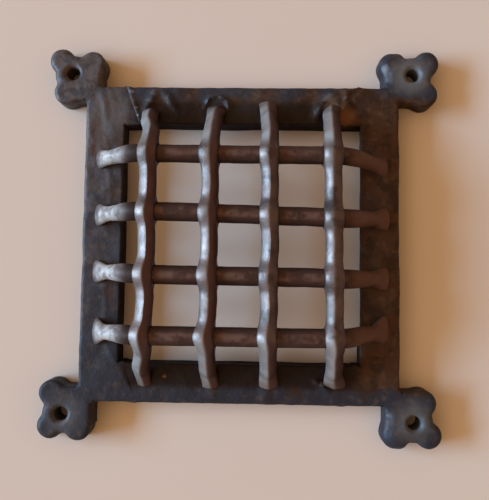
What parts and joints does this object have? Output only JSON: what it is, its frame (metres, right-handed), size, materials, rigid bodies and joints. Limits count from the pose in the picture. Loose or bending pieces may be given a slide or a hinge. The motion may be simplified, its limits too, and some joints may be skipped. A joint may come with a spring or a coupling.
{
  "type": "iron door grille",
  "caption": "Square forged iron grille with a flat nailing frame, trefoil corner lugs and a raised cage of crossed bars that guards a small opening in a door or wall.",
  "frame": {"origin": "centre of the grille's flat back face", "axes": "+Z out of the front, the way the bars are raised; +Y towards the top rail; +X towards the right stile seen from the front"},
  "size_m": [0.2108, 0.2108, 0.0366],
  "materials": {
    "frame_iron": "hand-hammered wrought iron, waxed blue-black with rust-brown bloom and pitting, satin",
    "upright_iron": "hand-hammered wrought iron, dark with edges and eyes rubbed bright, semi-gloss",
    "cross_iron": "hand-hammered wrought iron, brown patina, satin"
  },
  "bodies": {
    "root": {"left_stile": "frame_iron", "right_stile": "frame_iron", "top_rail": "frame_iron", "bottom_rail": "frame_iron", "upright_bar_1": "upright_iron", "upright_bar_2": "upright_iron", "upright_bar_3": "upright_iron", "upright_bar_4": "upright_iron", "cross_bar_1": "cross_iron", "cross_bar_2": "cross_iron", "cross_bar_3": "cross_iron", "cross_bar_4": "cross_iron"}
  },
  "joints": []
}
